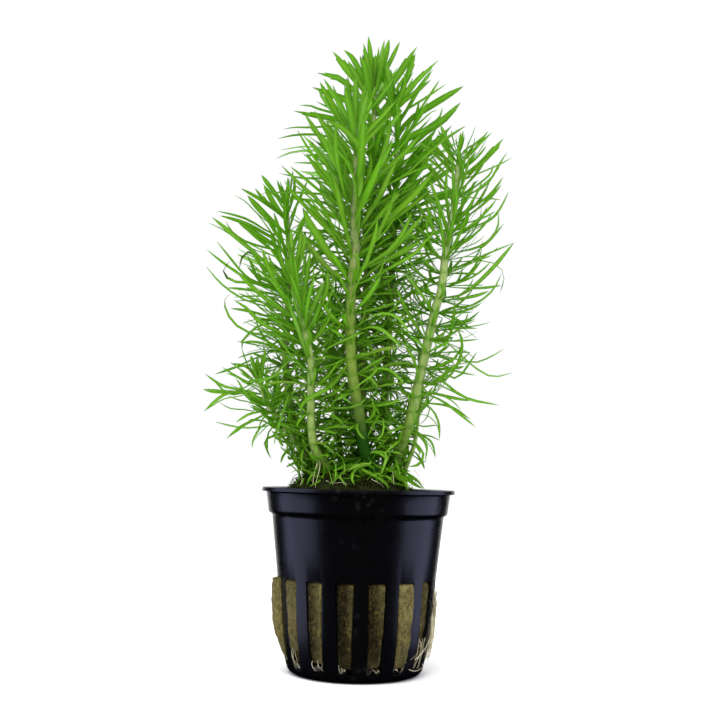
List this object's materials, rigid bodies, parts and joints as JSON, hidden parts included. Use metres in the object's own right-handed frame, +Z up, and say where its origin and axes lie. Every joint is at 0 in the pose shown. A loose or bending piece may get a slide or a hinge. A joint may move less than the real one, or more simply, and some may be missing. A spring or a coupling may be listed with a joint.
{
  "type": "potted pogostemon erectus",
  "caption": "Bunch of upright aquarium stems with whorls of needle leaves, standing in rock wool in a slotted black net pot.",
  "frame": {"origin": "middle of the underside of the pot, on its axis", "axes": "+Z up along the pot's axis; -Y towards the side of the plant that the picture shows; +X to the right from there"},
  "size_m": [0.091, 0.0574, 0.1895],
  "materials": {
    "black_plastic": "glossy moulded black plastic",
    "rock_wool": "matted damp mineral fibre, mossy on top",
    "leaf_green": "fresh satin leaf",
    "pale_root": "fine matted roots"
  },
  "bodies": {
    "root": {"pot": "black_plastic", "rock_wool": "rock_wool", "roots": "pale_root", "stem_main": "leaf_green", "stem_tall": "leaf_green", "stem_back_right": "leaf_green", "stem_right": "leaf_green", "stem_left_front": "leaf_green", "stem_left_back": "leaf_green", "stem_far_left": "leaf_green", "stem_low_right": "leaf_green", "stem_back": "leaf_green"}
  },
  "joints": []
}
